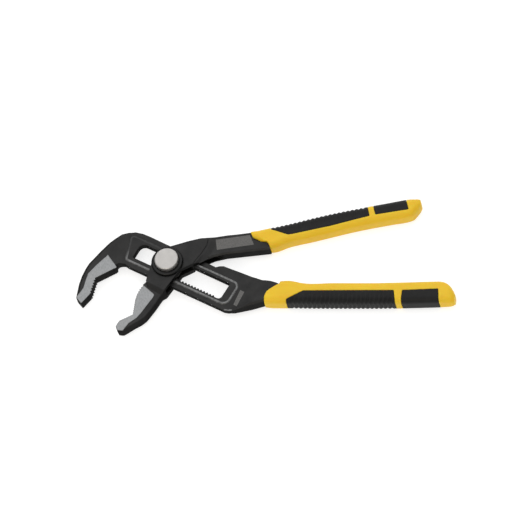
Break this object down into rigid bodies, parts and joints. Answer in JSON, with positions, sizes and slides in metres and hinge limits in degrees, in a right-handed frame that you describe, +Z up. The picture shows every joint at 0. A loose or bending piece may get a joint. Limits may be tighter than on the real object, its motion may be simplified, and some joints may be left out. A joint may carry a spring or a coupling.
{
  "type": "tongue and groove pliers",
  "caption": "Adjustable pliers with a toothed slot, a push-button pivot lock, angled serrated jaws and two-colour moulded handle grips.",
  "frame": {"origin": "on the pivot axis, in the flat back face of the pivot, which is also the plane that the tool rests on", "axes": "+X along the lower handle away from the jaws, +Y towards the upper handle, +Z up along the pivot axis towards the push button"},
  "size_m": [0.253, 0.0988, 0.0178],
  "materials": {
    "black_steel": "black oxide, satin, forged texture",
    "collar_steel": "black, turned, satin",
    "bright_steel": "plain, finely turned, satin",
    "spring_steel": "drawn wire",
    "yellow_plastic": "moulded, fine texture, semi-matte",
    "black_rubber": "soft, matte, ribbed"
  },
  "bodies": {
    "slotted_half": {"slotted_lever": "black_steel", "slotted_grip_shell": "yellow_plastic", "slotted_grip_long_pad": "black_rubber", "slotted_grip_short_pad": "black_rubber"},
    "pivot_unit": {"pivot_sleeve": "bright_steel", "pivot_collar": "collar_steel", "retaining_ring": "spring_steel", "button_spring": "spring_steel"},
    "swing_half": {"swing_lever": "black_steel", "swing_grip_shell": "yellow_plastic", "swing_grip_long_pad": "black_rubber", "swing_grip_short_pad": "black_rubber"},
    "push_button": {"locking_bolt": "bright_steel", "button_cap": "bright_steel"}
  },
  "joints": [
    {"name": "jaw_adjust", "type": "slide", "parent": "slotted_half", "child": "pivot_unit", "axis": [0.8988, -0.4384, 0], "range_m": [-0.00474, 0.0237]},
    {"name": "jaw_pivot", "type": "hinge", "parent": "pivot_unit", "child": "swing_half", "pos_m": [0, 0, 0], "axis": [0, 0, 1], "range_deg": [-9, 21]},
    {"name": "button_press", "type": "slide", "parent": "pivot_unit", "child": "push_button", "axis": [0, 0, -1], "range_m": [0, 0.0036], "stiffness_N_per_m": 1200, "springref_m": -0.003, "deforming": ["button_spring"]}
  ]
}
